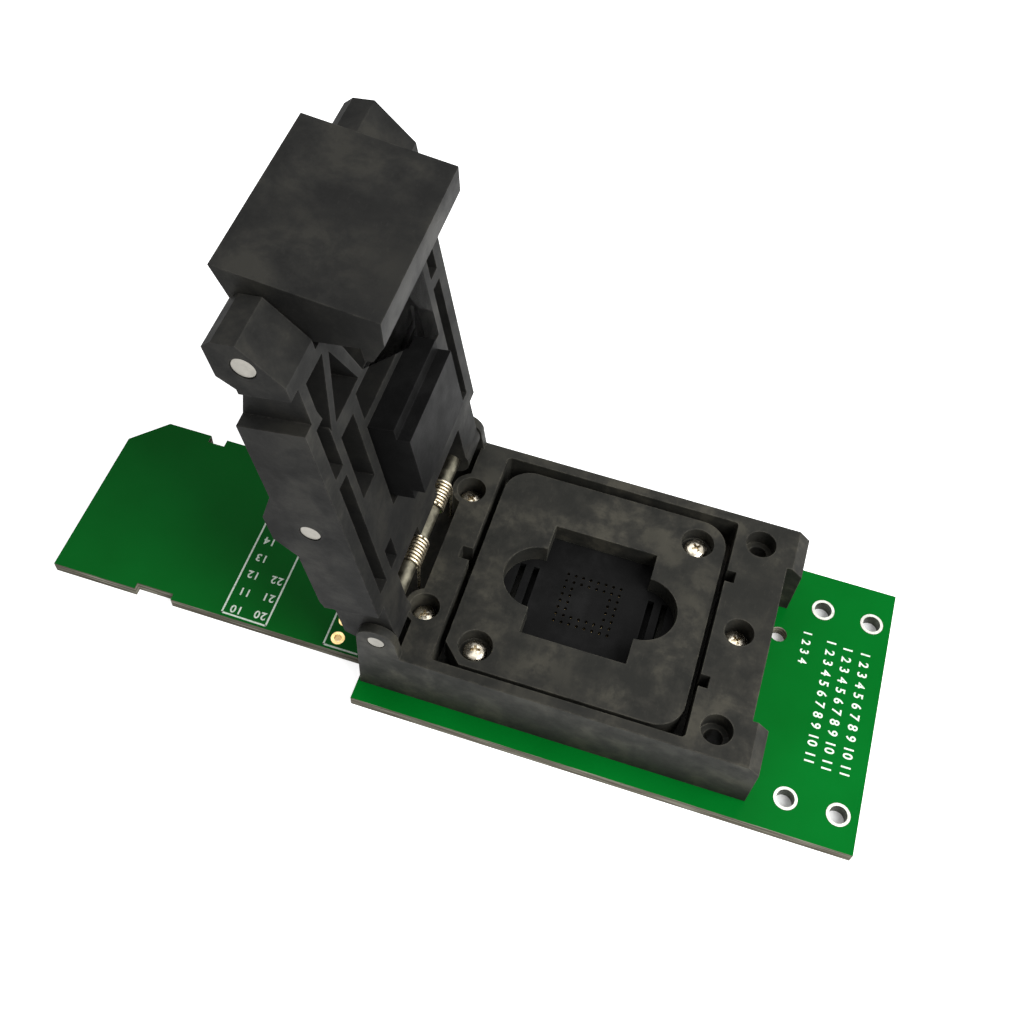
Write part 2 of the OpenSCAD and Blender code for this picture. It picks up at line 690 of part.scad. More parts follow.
// Pockets in the lid's underside, drawn as seen from the hinge towards the latch.
module lid_pockets() {
  wall_in = lid_w / 2 - lid_wall;
  rib_u = step_u - 4.6;                    // cross rib before the latch end
  front_u = lid_end - 1.2;
  side_in = cavity_w / 2 + 1.4;
  for (s = [-1, 1]) scale([1, s]) {
    translate([lid_start + 2, wall_in - 1.8]) square([pusher_u - lid_start + 4, 1.8]);
    translate([pusher_u + 7.4, wall_in - 1.8]) square([step_u - pusher_u - 8.6, 1.8]);
    translate([pusher_u + 0.6, side_in]) square([rib_u - pusher_u - 1.8, wall_in - 3 - side_in]);
    translate([lid_start + 2, side_in + 1]) square([3.4, wall_in - 4.2 - side_in]);
    polygon([[front_u - 0.8, 8.6], [rib_u + 0.9, 5.6], [rib_u + 0.9, 11.1]]);
    polygon([[front_u, 9.6], [front_u, 13.2], [step_u + 0.4, 13.2], [rib_u + 0.9, 12.2]]);
  }
  polygon([[front_u, -7.3], [front_u, 7.3], [rib_u + 0.9, 4.5], [rib_u + 0.9, -4.5]]);
  translate([pusher_u + cavity_l / 2 + 1.1, -cavity_w / 2])
    square([rib_u - pusher_u - cavity_l / 2 - 1.1, cavity_w]);
}

module lid_frame() {
  color(plastic) lid_pose() difference() {
    lid_solid();
    translate([0, 0, -lid_under - 1]) linear_extrude(height = lid_under + pocket_w + 1) lid_pockets();
    // the pusher's cavity, deeper in its middle
    translate([pusher_u - cavity_l / 2, -cavity_w / 2, -lid_under - 1])
      cube([cavity_l, cavity_w, lid_under + pocket_w + 1]);
    translate([pusher_u - cap_l / 2 - 0.5, -cavity_w / 2, 0]) cube([cap_l + 1, cavity_w, cavity_top]);
    // room between the latch ears
    translate([lid_end, -ear_y, -lid_under - 1])
      cube([ear_tip_u - lid_end + 1, 2 * ear_y, lid_bar + lid_under + 2]);
    translate([pusher_u, 0, pusher_pin_h]) cross_pin(pusher_pin_r + seat, -lid_w, lid_w);
    translate([latch_u, 0, latch_pin_h]) cross_pin(latch_pin_r + seat, -lid_w, lid_w);
    latch_spring_places() cylinder(r = latch_spring_r + 0.15, h = 3);
  }
}

module pusher_pin() {
  color(steel) lid_pose() translate([pusher_u, 0, pusher_pin_h])
    cross_pin(pusher_pin_r, -lid_w / 2 + 0.1, lid_w / 2 - 0.1);
}

module pusher_block() {
  color(plastic_dark) lid_pose() translate([pusher_u, 0, 0]) difference() {
    union() {
      across(foot_w) polygon([[-shoulder_l / 2, shoulder_face], [-shoulder_l / 2, shoulder_top],
        [-cap_l / 2, shoulder_top], [-cap_l / 2, pusher_top], [cap_l / 2, pusher_top],
        [cap_l / 2, shoulder_top], [shoulder_l / 2, shoulder_top], [shoulder_l / 2, shoulder_face]]);
      translate([-foot_l / 2, -foot_w / 2, foot_face]) cube([foot_l, foot_w, foot_h + eps]);
    }
    translate([0, 0, pusher_pin_h]) cross_pin(pusher_pin_r + run, -foot_w, foot_w);
    for (s = [-1, 1]) translate([s * pusher_spring_u, 0, pusher_top - pusher_seat])
      cylinder(r = pusher_spring_r + 0.2, h = 3);
  }
}

module pusher_springs() {
  length = cavity_top - pusher_top + pusher_seat;
  turns = 4;
  wire = 0.13;
  color(steel) lid_pose() for (s = [-1, 1])
    translate([pusher_u + s * pusher_spring_u, 0, pusher_top - pusher_seat + wire + seat])
      coil(pusher_spring_r - wire, wire, (length - 2 * wire - 2 * seat) / turns, turns, 10);
}

// ---- latch ----

// Both latch springs' places, with Z pointing from the lid to the latch.
module latch_spring_places() {
  for (s = [-1, 1]) translate([latch_spring_u, s * latch_spring_y, latch_spring_h])
    rotate([0, 90, 0]) children();
}

module latch_pin() {
  color(steel) lid_pose() translate([latch_u, 0, latch_pin_h])
    cross_pin(latch_pin_r, -lid_w / 2 + 0.1, lid_w / 2 - 0.1);
}

// Side outline of the latch, hooked: front face on the right, hook at the lower left.
module latch_side() {
  inner = notch_u + 0.25;
  hook_top = ledge_h - hinge_h - 0.15;
  polygon([[latch_u + latch_lean, latch_pin_h + 4.3], [latch_u + 1, hook_top - 2.65],
           [inner + 0.6, hook_top - 2.35], [notch_u - hook_reach, hook_top - 0.8],
           [notch_u - hook_reach, hook_top], [inner, hook_top], [inner, latch_pin_h - 2.3],
           [inner + 0.6, latch_pin_h + 2.1], [latch_u + 0.2, latch_pin_h + 2.8],
           [latch_u + 1.2, latch_pin_h + 3.4]]);
}

module latch() {
  color(plastic) lid_pose() difference() {
    across(latch_w) latch_side();
    translate([latch_u, 0, latch_pin_h]) cross_pin(latch_pin_r + run, -latch_w, latch_w);
    latch_spring_places() cylinder(r = latch_spring_r + 0.15, h = latch_seat_u - latch_spring_u);
  }
}

module latch_springs() {
  wire = 0.12;
  length = latch_seat_u - latch_spring_u;
  turns = 4;
  color(steel) lid_pose() latch_spring_places() translate([0, 0, wire + seat])
    coil(latch_spring_r - wire, wire, (length - 2 * wire - 2 * seat) / turns, turns, 10);
}

circuit_board();
card_contacts();
header_sleeves();
corner_sleeves();
landing_pads();
base_frame();
pin_carrier();
retainer_plate();
contact_pins();
locating_pins();
clinch_nuts();
base_screws();
nest_plate();
nest_floor();
nest_screws();
nest_springs();
hinge_shaft();
lid_spring();
lid_frame();
pusher_pin();
pusher_block();
pusher_springs();
latch_pin();
latch();
latch_springs();
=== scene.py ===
import json
import math
import bmesh
import bpy
from mathutils import Matrix, Vector


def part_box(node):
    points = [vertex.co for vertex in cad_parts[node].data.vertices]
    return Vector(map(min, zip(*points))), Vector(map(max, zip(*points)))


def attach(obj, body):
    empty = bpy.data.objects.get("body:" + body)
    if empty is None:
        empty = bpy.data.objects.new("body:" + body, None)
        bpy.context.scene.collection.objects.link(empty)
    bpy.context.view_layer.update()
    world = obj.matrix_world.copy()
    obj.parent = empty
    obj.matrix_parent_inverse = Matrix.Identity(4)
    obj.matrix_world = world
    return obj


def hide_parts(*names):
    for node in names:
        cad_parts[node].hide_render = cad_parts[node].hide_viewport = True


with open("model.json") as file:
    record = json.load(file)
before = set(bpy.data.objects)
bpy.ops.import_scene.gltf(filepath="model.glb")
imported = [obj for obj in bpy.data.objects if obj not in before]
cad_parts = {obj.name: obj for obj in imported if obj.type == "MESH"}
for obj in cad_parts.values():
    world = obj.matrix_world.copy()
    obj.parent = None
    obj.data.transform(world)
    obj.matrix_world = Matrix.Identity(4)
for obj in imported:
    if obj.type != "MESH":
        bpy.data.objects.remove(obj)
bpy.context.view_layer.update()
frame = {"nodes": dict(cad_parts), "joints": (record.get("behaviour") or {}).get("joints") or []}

MM = 0.001


# ---------------------------------------------------------------- adapter board
# The board is glass-fibre laminate with copper inside, covered by glossy green
# solder mask on both faces. Its edges are routed and show the bare laminate.

def start_material(name, colour, roughness, metallic=0.0, specular=0.5):
    """A material whose constants sit on the shader's own sockets."""
    mat = bpy.data.materials.new(name)
    mat.use_nodes = True
    shader = mat.node_tree.nodes["Principled BSDF"]
    shader.inputs["Base Color"].default_value = (*colour, 1)
    shader.inputs["Roughness"].default_value = roughness
    shader.inputs["Metallic"].default_value = metallic
    shader.inputs["Specular IOR Level"].default_value = specular
    place = mat.node_tree.nodes.new("ShaderNodeTexCoord")
    return mat, mat.node_tree, shader, place.outputs["Object"]


def noise(tree, place, scale, detail=4.0, rough=0.55, distort=0.0, stretch=None):
    if stretch:
        turn = tree.nodes.new("ShaderNodeMapping")
        turn.inputs["Scale"].default_value = stretch
        tree.links.new(place, turn.inputs["Vector"])
        place = turn.outputs["Vector"]
    node = tree.nodes.new("ShaderNodeTexNoise")
    node.inputs["Scale"].default_value = scale
    node.inputs["Detail"].default_value = detail
    node.inputs["Roughness"].default_value = rough
    node.inputs["Distortion"].default_value = distort
    tree.links.new(place, node.inputs["Vector"])
    return node.outputs["Fac"]


def ramp(tree, source, stops):
    node = tree.nodes.new("ShaderNodeValToRGB")
    band = node.color_ramp
    while len(band.elements) < len(stops):
        band.elements.new(0.5)
    for element, (at, colour) in zip(band.elements, stops):
        element.position = at
        element.color = (*colour, 1) if len(colour) == 3 else colour
    tree.links.new(source, node.inputs["Fac"])
    return node.outputs["Color"]


def grey(tree, source, low, high, a=0.0, b=1.0):
    """Maps the source from low..high to a..b, and holds it there."""
    node = tree.nodes.new("ShaderNodeMapRange")
    for i, value in enumerate((low, high, a, b)):
        node.inputs[i + 1].default_value = value
    tree.links.new(source, node.inputs["Value"])
    return node.outputs["Result"]


def blend_colours(tree, share, a, b, mode="MIX"):
    node = tree.nodes.new("ShaderNodeMix")
    node.data_type = "RGBA"
    node.blend_type = mode
    for socket, value in ((node.inputs["Factor"], share), (node.inputs[6], a), (node.inputs[7], b)):
        if isinstance(value, bpy.types.NodeSocket):
            tree.links.new(value, socket)
        elif isinstance(value, tuple):
            socket.default_value = (*value, 1)
        else:
            socket.default_value = value
    return node.outputs[2]


def add_bump(tree, shader, height, strength, depth, soft_edge=None):
    node = tree.nodes.new("ShaderNodeBump")
    node.inputs["Strength"].default_value = strength
    node.inputs["Distance"].default_value = depth
    tree.links.new(height, node.inputs["Height"])
    if soft_edge:
        round_off = tree.nodes.new("ShaderNodeBevel")
        round_off.samples = 4
        round_off.inputs["Radius"].default_value = soft_edge
        tree.links.new(round_off.outputs["Normal"], node.inputs["Normal"])
    tree.links.new(node.outputs["Normal"], shader.inputs["Normal"])


def face_up(tree):
    """1 on faces that look along Z, 0 on walls."""
    node = tree.nodes.new("ShaderNodeNewGeometry")
    split = tree.nodes.new("ShaderNodeSeparateXYZ")
    tree.links.new(node.outputs["Normal"], split.inputs[0])
    size = tree.nodes.new("ShaderNodeMath")
    size.operation = "ABSOLUTE"
    tree.links.new(split.outputs["Z"], size.inputs[0])
    return grey(tree, size.outputs[0], 0.8, 0.95)


def dress(node_name, material):
    obj = frame["nodes"][node_name]
    for slot in obj.material_slots:
        slot.material = material
    return obj


def break_edges(node_name, width, segments=2, angle=32):
    """Small rounds along a moulded or cut part's edges."""
    obj = frame["nodes"][node_name]
    weld = obj.modifiers.new("join", "WELD")
    weld.merge_threshold = 2e-6
    flat = obj.modifiers.new("flat", "DECIMATE")
    flat.decimate_type = "DISSOLVE"
    flat.angle_limit = math.radians(0.3)
    edge = obj.modifiers.new("edge", "BEVEL")
    edge.width = width
    edge.segments = segments
    edge.limit_method = "ANGLE"
    edge.angle_limit = math.radians(angle)
    edge.miter_outer = "MITER_ARC"
    shade = obj.modifiers.new("shade", "WEIGHTED_NORMAL")
    shade.keep_sharp = False
    return obj


mask, tree, shader, place = start_material("solder_mask", (0.001, 0.125, 0.014), 0.26, 0.0, 0.025)
board_cloud = noise(tree, place, 60, 3)
mask_green = ramp(tree, board_cloud, [(0.3, (0.0005, 0.105, 0.01)), (0.7, (0.0009, 0.135, 0.015))])
layers = noise(tree, place, 400, 2, stretch=(0.3, 0.3, 14))
laminate = ramp(tree, layers, [(0.3, (0.08, 0.07, 0.05)), (0.5, (0.14, 0.13, 0.10)),
                               (0.7, (0.42, 0.4, 0.33))])
up = face_up(tree)
tree.links.new(blend_colours(tree, up, laminate, mask_green), shader.inputs["Base Color"])
tree.links.new(grey(tree, up, 0, 1, 0.75, 0.24), shader.inputs["Roughness"])
add_bump(tree, shader, noise(tree, place, 700, 2), 0.06, 0.0002)
dress("circuit_board", mask)
break_edges("circuit_board", 0.09 * MM, 1, 50)


# ---------------------------------------------------------------- printed lines and numbers
# White ink is screen-printed on the mask: two frames by the header holes, the
# numbers in them, and rows of numbers by the wide end.

board_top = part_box("circuit_board")[1][2]
ink_t = 0.02 * MM

ink, tree, shader, place = start_material("printing_ink", (0.72, 0.8, 0.72), 0.55)
worn = noise(tree, place, 5200, 3)
tree.links.new(ramp(tree, worn, [(0.3, (0.42, 0.62, 0.45)), (0.55, (0.8, 0.86, 0.78))]),
               shader.inputs["Base Color"])


def new_piece(name, bm, material, body, smooth=True):
    mesh = bpy.data.meshes.new(name)
    bmesh.ops.recalc_face_normals(bm, faces=bm.faces)
    bm.to_mesh(mesh)
    bm.free()
    mesh.polygons.foreach_set("use_smooth", [smooth] * len(mesh.polygons))
    obj = bpy.data.objects.new(name, mesh)
    bpy.context.scene.collection.objects.link(obj)
    mesh.materials.append(material)
    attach(obj, body)
    return obj


def ink_line(bm, a, b, width):
    """A printed stroke with round ends from a to b, in mm on the board."""
    a, b = Vector((*a, 0)) * MM, Vector((*b, 0)) * MM
    half = width * MM / 2
    run = (b - a).normalized()
    turn = math.atan2(run.y, run.x)
    points = []
    for centre, start in ((b, -90), (a, 90)):
        for k in range(7):
            angle = turn + math.radians(start + 30 * k)
            points.append(centre + Vector((math.cos(angle), math.sin(angle), 0)) * half)
    face = bm.faces.new([bm.verts.new(p + Vector((0, 0, board_top))) for p in points])
    raised = bmesh.ops.extrude_face_region(bm, geom=[face])
    top = [v for v in raised["geom"] if isinstance(v, bmesh.types.BMVert)]
    bmesh.ops.translate(bm, vec=(0, 0, ink_t), verts=top)


bm = bmesh.new()
for a, b in (((-27.95, -11.78), (-27.95, 9.2)), ((-27.95, -11.78), (-22.25, -11.85)),
             ((-22.25, -11.85), (-22.25, 9.2)), ((-27.95, 9.2), (-22.25, 9.2)),
             ((-14.85, -11.85), (-14.85, 9.0)), ((-14.85, -11.85), (-10.6, -11.85)),
             ((-14.85, 9.0), (-10.6, 9.0))):
    ink_line(bm, a, b, 0.22)
new_piece("printed_frames", bm, ink, "board_and_base", False)


def printed_number(text, x, y, height, turn):
    """Raised ink figures, centred at x, y in mm, turned in degrees."""
    curve = bpy.data.curves.new("figures", "FONT")
    curve.body = text
    curve.size = height * 1.38 * MM
    curve.align_x = "CENTER"
    curve.align_y = "CENTER"
    curve.resolution_u = 3
    curve.extrude = ink_t / 2
    curve.offset = 0.028 * MM
    curve.space_character = 1.12
    holder = bpy.data.objects.new("figures", curve)
    bpy.context.scene.collection.objects.link(holder)
    bpy.context.view_layer.update()
    mesh = bpy.data.meshes.new_from_object(holder)
    bpy.data.objects.remove(holder)
    mesh.transform(Matrix.Translation((x * MM, y * MM, board_top + ink_t / 2))
                   @ Matrix.Rotation(math.radians(turn), 4, "Z"))
    return mesh


def print_rows(name, rows):
    bm = bmesh.new()
    for row in rows:
        bm.from_mesh(printed_number(*row))
    bmesh.ops.remove_doubles(bm, verts=bm.verts, dist=1e-7)
    new_piece(name, bm, ink, "board_and_base", False)


print_rows("printed_row_numbers", [
    ("1 2 3 4", 40.2, 6.6, 1.05, -90),
    ("1 2 3 4 5 6 7 8 9 10 11", 43.2, 0.2, 1.15, -90),
    ("1 2 3 4 5 6 7 8 9 10 11", 45.25, -0.1, 1.15, -90),
    ("1 2 3 4 5 6 7 8 9 10 11", 47.4, -0.1, 1.15, -90)])
print_rows("printed_hole_numbers",
           [(str(10 + i), -26.4, -10.9 + 2.54 * i, 1.05, 180) for i in range(8)]
           + [(str(20 + i), -23.4, -10.7 + 2.54 * i, 1.05, 180) for i in range(3)])


# ---------------------------------------------------------------- plated holes and pads
# Copper lands round the holes are plated: gold at the header holes and under the
# tongue, bright tin in the corner holes, whose walls are painted dark as shade inside the holes.
# Each land stands just proud of the mask.

gold, tree, shader, place = start_material("gold_plate", (0.83, 0.62, 0.27), 0.28, 1.0)
tree.links.new(ramp(tree, noise(tree, place, 1500, 3),
                    [(0.3, (0.62, 0.4, 0.14)), (0.7, (0.9, 0.72, 0.36))]), shader.inputs["Base Color"])
tree.links.new(grey(tree, noise(tree, place, 3000, 2), 0.3, 0.7, 0.2, 0.42), shader.inputs["Roughness"])
for name in ("header_sleeves", "card_contacts", "landing_pads"):
    dress(name, gold)

tin, tree, shader, place = start_material("tin_plate", (0.8, 0.8, 0.78), 0.3, 1.0)
tinned = ramp(tree, noise(tree, place, 1200, 3), [(0.3, (0.55, 0.56, 0.5)), (0.7, (0.85, 0.86, 0.78))])
# the corner sleeves' walls get a dark colour instead of tin: painted shade inside the holes
tree.links.new(blend_colours(tree, face_up(tree), (0.07, 0.08, 0.06), tinned), shader.inputs["Base Color"])
tree.links.new(grey(tree, noise(tree, place, 2500, 2), 0.3, 0.7, 0.22, 0.45), shader.inputs["Roughness"])
dress("corner_sleeves", tin)


def land(bm, x, y, inner, outer, z, up, thick):
    """A flat ring with a soft outer edge, made by turning its section."""
    s = 1 if up else -1
    section = [(inner, 0), (inner, thick), (outer - thick, thick), (outer, 0)]
    verts = [bm.verts.new((x + r, y, z + s * h)) for r, h in section]
    edges = [bm.edges.new(verts[i:i + 2]) for i in range(3)]
    edges.append(bm.edges.new((verts[3], verts[0])))
    bmesh.ops.spin(bm, geom=verts + edges, cent=(x, y, 0), axis=(0, 0, 1),
                   angle=2 * math.pi, steps=40, use_merge=True)


def hole_centres(node_name, pitch):
    """Centres of the separate sleeves in a node, found by grouping its corners."""
    groups = []
    for v in frame["nodes"][node_name].data.vertices:
        for g in groups:
            if abs(g[0][0] - v.co.x) < pitch and abs(g[0][1] - v.co.y) < pitch:
                g.append((v.co.x, v.co.y))
                break
        else:
            groups.append([(v.co.x, v.co.y)])
    return [tuple((min(p[i] for p in g) + max(p[i] for p in g)) / 2 for i in (0, 1))
            for g in groups]


header = hole_centres("header_sleeves", 1.5 * MM)
corners = hole_centres("corner_sleeves", 3 * MM)
land_t = 0.03 * MM
for name, holes, inner, outer, plate, slot in (
        ("header_lands", header, 0.46 * MM, 0.86 * MM, gold, "gold_plate"),
        ("corner_lands", corners, 1.06 * MM, 1.42 * MM, tin, "tin_plate")):
    bm = bmesh.new()
    for x, y in holes:
        for z, up in ((board_top, True), (0.0, False)):
            land(bm, x, y, inner, outer, z, up, land_t)
    new_piece(name, bm, plate, "board_and_base", False)


# ---------------------------------------------------------------- socket base
# A glass-filled black moulding, screwed to the board. The filler gives it a
# faint olive cloud, and its corners are painted pale: partly rubbed wear, partly painted highlight.

def moulded(name, dark, mid, light, cloud=260, rough=(0.42, 0.6), edge_wear_and_highlight=0.5, sheen=0.1):
    mat, tree, shader, place = start_material(name, mid, 0.5, 0.0, sheen)
    patches = noise(tree, place, cloud, 5, 0.62, 0.15)
    colour = ramp(tree, patches, [(0.38, dark), (0.5, mid), (0.62, light)])
    broad = noise(tree, place, cloud * 0.4, 2, 0.5)
    colour = blend_colours(tree, grey(tree, broad, 0.42, 0.62, 0.0, 0.7), colour, dark)
    fibres = noise(tree, place, 2600, 4, 0.7, stretch=(1, 0.35, 1))
    colour = blend_colours(tree, grey(tree, fibres, 0.58, 0.78, 0.0, 0.12), colour,
                           tuple(min(1, c * 2.2) for c in light))
    # rubbed edges and painted highlight: pale where a rounded normal leaves the true one
    shape = tree.nodes.new("ShaderNodeNewGeometry")
    soft = tree.nodes.new("ShaderNodeBevel")
    soft.samples = 4
    soft.inputs["Radius"].default_value = 0.00028
    agree = tree.nodes.new("ShaderNodeVectorMath")
    agree.operation = "DOT_PRODUCT"
    tree.links.new(shape.outputs["Normal"], agree.inputs[0])
    tree.links.new(soft.outputs["Normal"], agree.inputs[1])
    edge = grey(tree, agree.outputs["Value"], 0.995, 0.86, 0.0, edge_wear_and_highlight)
    pale_edge_wear_and_highlight = tree.nodes.new("ShaderNodeMath")
    pale_edge_wear_and_highlight.operation = "MULTIPLY"
    tree.links.new(edge, pale_edge_wear_and_highlight.inputs[0])
    tree.links.new(grey(tree, noise(tree, place, 800, 4, 0.7), 0.4, 0.62), pale_edge_wear_and_highlight.inputs[1])
    colour = blend_colours(tree, pale_edge_wear_and_highlight.outputs[0], colour, tuple(min(1, c * 2.4) for c in light))
    tree.links.new(colour, shader.inputs["Base Color"])
    tree.links.new(grey(tree, patches, 0.35, 0.65, rough[1], rough[0]), shader.inputs["Roughness"])
    grain = tree.nodes.new("ShaderNodeMath")
    grain.operation = "ADD"
    tree.links.new(fibres, grain.inputs[0])
    tree.links.new(noise(tree, place, 420, 3), grain.inputs[1])
    add_bump(tree, shader, grain.outputs[0], 0.22, 0.00006)
    return mat


black = moulded("moulded_plastic", (0.016, 0.016, 0.014), (0.027, 0.026, 0.022), (0.05, 0.047, 0.037))
# the lid's and latch's copy of the moulding, darkened as painted shade
shade_darkened_black = moulded("moulded_plastic_lid_shade_darkened", (0.012, 0.012, 0.0115), (0.018, 0.0178, 0.0165),
                     (0.028, 0.027, 0.0235), 200, (0.46, 0.6), 0.4, 0.06)
smooth_black = moulded("dark_plastic", (0.006, 0.006, 0.006), (0.008, 0.008, 0.008),
                       (0.011, 0.011, 0.011), 260, (0.4, 0.5), 0.2, 0.03)
dress("base_frame", black)
break_edges("base_frame", 0.13 * MM)


# ---------------------------------------------------------------- contact block
# Sprung pins stand on the board's pads inside a smooth black carrier, which a
# thin retainer plate holds up into the base.

dress("pin_carrier", smooth_black)
dress("retainer_plate", smooth_black)
dress("contact_pins", gold)


# ---------------------------------------------------------------- steel pieces
# Ground steel pins and pressed nuts. Their cut ends are a dull pale grey, and their
# round sides have a warm tint and are painted darker, as painted shade.

steel, tree, shader, place = start_material("steel", (0.72, 0.71, 0.68), 0.4, 1.0)
turned = noise(tree, place, 900, 4, 0.6)
ends = ramp(tree, turned, [(0.3, (0.24, 0.23, 0.205)), (0.7, (0.36, 0.345, 0.31))])
# the round sides' darker colour is painted shade
shade_darkened_sides = ramp(tree, turned, [(0.3, (0.12, 0.112, 0.085)), (0.7, (0.26, 0.245, 0.185))])
facing = tree.nodes.new("ShaderNodeNewGeometry")
split = tree.nodes.new("ShaderNodeSeparateXYZ")
tree.links.new(facing.outputs["Normal"], split.inputs[0])
end_on = tree.nodes.new("ShaderNodeMath")
end_on.operation = "ABSOLUTE"
tree.links.new(split.outputs["Y"], end_on.inputs[0])
tree.links.new(blend_colours(tree, grey(tree, end_on.outputs[0], 0.5, 0.9), shade_darkened_sides, ends),
               shader.inputs["Base Color"])
tree.links.new(grey(tree, turned, 0.3, 0.7, 0.34, 0.52), shader.inputs["Roughness"])
add_bump(tree, shader, noise(tree, place, 2400, 3, stretch=(1, 0.1, 1)), 0.15, 0.00003)
for name in ("locating_pins", "clinch_nuts", "hinge_shaft", "pusher_pin", "latch_pin"):
    dress(name, steel)
for name in ("hinge_shaft", "pusher_pin", "latch_pin"):
    break_edges(name, 0.1 * MM, 2, 50)


# ---------------------------------------------------------------- cross-head screws
# Small nickel-plated pan heads: three hold the base to the board's nuts, two
# with shoulders guide the floating nest.

nickel, tree, shader, place = start_material("nickel_screw", (0.75, 0.73, 0.69), 0.22, 1.0)
rubbed = noise(tree, place, 1600, 4)
tree.links.new(ramp(tree, rubbed, [(0.3, (0.46, 0.41, 0.32)), (0.6, (0.78, 0.72, 0.6))]),
               shader.inputs["Base Color"])
tree.links.new(grey(tree, rubbed, 0.3, 0.7, 0.16, 0.36), shader.inputs["Roughness"])


def lathe(bm, section, steps=40):
    """Turns a section of (radius, height) in mm round Z and closes its ends."""
    verts = [bm.verts.new((r * MM, 0, h * MM)) for r, h in section]
    edges = [bm.edges.new(verts[i:i + 2]) for i in range(len(verts) - 1)]
    bmesh.ops.spin(bm, geom=verts + edges, cent=(0, 0, 0), axis=(0, 0, 1),
                   angle=2 * math.pi, steps=steps, use_merge=True)
    bmesh.ops.remove_doubles(bm, verts=bm.verts, dist=1e-7)


def screw_mesh(head_r, head_h, shank_r, length, shoulder_r=0, shoulder=0):
    """A pan head with a tapered cross cut into it; its top is at z = 0."""
    dome = [(0, 0)] + [(head_r * math.sin(math.radians(a)) * 0.98,
                        -head_h * 0.52 * (1 - math.cos(math.radians(a)))) for a in range(12, 90, 13)]
    section = dome + [(head_r, -head_h * 0.62), (head_r, -head_h)]
    if shoulder:
        section += [(shoulder_r, -head_h), (shoulder_r, -head_h - shoulder)]
    else:
        section += [(shank_r, -head_h)]
    z = -head_h - shoulder
    section += [(shank_r, z)]
    while z - 0.35 > -length:
        section += [(shank_r * 0.84, z - 0.17), (shank_r, z - 0.35)]
        z -= 0.35
    section += [(shank_r * 0.8, -length), (0, -length)]
    bm = bmesh.new()
    lathe(bm, section)
    bmesh.ops.recalc_face_normals(bm, faces=bm.faces)
    body = bpy.data.meshes.new("screw")
    bm.to_mesh(body)
    bm.free()
    bm = bmesh.new()
    for turn in (0, 90):
        made = bmesh.ops.create_cube(bm, size=1)["verts"]
        bmesh.ops.scale(bm, vec=(head_r * 1.15 * MM, head_r * 0.3 * MM, head_h * 1.5 * MM), verts=made)
        for v in made:
            if v.co.z < 0:
                v.co.x *= 0.45
                v.co.y *= 0.6
        bmesh.ops.rotate(bm, cent=(0, 0, 0), matrix=Matrix.Rotation(math.radians(turn), 3, "Z"), verts=made)
    cutter = bpy.data.meshes.new("cross")
    bm.to_mesh(cutter)
    bm.free()
    objs = [bpy.data.objects.new(n, m) for n, m in (("screw", body), ("cross", cutter))]
    for o in objs:
        bpy.context.scene.collection.objects.link(o)
    cut = objs[0].modifiers.new("cross", "BOOLEAN")
    cut.operation = "DIFFERENCE"
    cut.use_self = True
    cut.object = objs[1]
    done = bpy.data.meshes.new_from_object(objs[0].evaluated_get(bpy.context.evaluated_depsgraph_get()))
    for o in objs:
        bpy.data.objects.remove(o)
    return done


def place_screws(name, mesh, places, node_name):
    bm = bmesh.new()
    for (x, y, z), turn in places:
        copy = mesh.copy()
        copy.transform(Matrix.Translation((x, y, z)) @ Matrix.Rotation(math.radians(turn), 4, "Z"))
        bm.from_mesh(copy)
    obj = new_piece(name, bm, nickel, "board_and_base", False)
    edge = obj.modifiers.new("edge", "BEVEL")
    edge.width = 0.04 * MM
    edge.segments = 2
    edge.limit_method = "ANGLE"
    edge.angle_limit = math.radians(38)
    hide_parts(node_name)
    return obj


def tops(node_name, pitch):
    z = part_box(node_name)[1][2]
    return [(x, y, z) for x, y in hole_centres(node_name, pitch)]


low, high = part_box("base_screws")
head_r, head_h, shank_r = 1.4, 1.0, 0.78
shoulder_r, shoulder = 0.99, 2.48
base_screw = screw_mesh(head_r, head_h, shank_r, (high[2] - low[2]) / MM)
place_screws("base_pan_screws", base_screw,
             [(p, t) for p, t in zip(sorted(tops("base_screws", 3 * MM)), (20, 62, 35))], "base_screws")
low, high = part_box("nest_screws")
nest_screw = screw_mesh(head_r, head_h, shank_r, (high[2] - low[2]) / MM, shoulder_r, shoulder)
place_screws("nest_shoulder_screws", nest_screw,
             [(p, t) for p, t in zip(sorted(tops("nest_screws", 3 * MM)), (15, 40))], "nest_screws")


# ---------------------------------------------------------------- floating nest
# The nest plate is the same moulding as the base, and floats on springs. Its
# pocket is closed from below by a smooth plate bored for the contact pins.

dress("nest_plate", black)
break_edges("nest_plate", 0.15 * MM)
dress("nest_floor", smooth_black)


# ---------------------------------------------------------------- springs
# Drawn wire springs: the coils under the nest, and the double coil that throws
# the lid open. The pusher's and the latch's coils come with their pieces.

wire, tree, shader, place = start_material("spring_wire", (0.74, 0.66, 0.48), 0.3, 1.0)
tree.links.new(ramp(tree, noise(tree, place, 1800, 3),
                    [(0.35, (0.5, 0.43, 0.3)), (0.65, (0.88, 0.8, 0.62))]), shader.inputs["Base Color"])
tree.links.new(grey(tree, noise(tree, place, 2600, 2), 0.3, 0.7, 0.2, 0.4), shader.inputs["Roughness"])


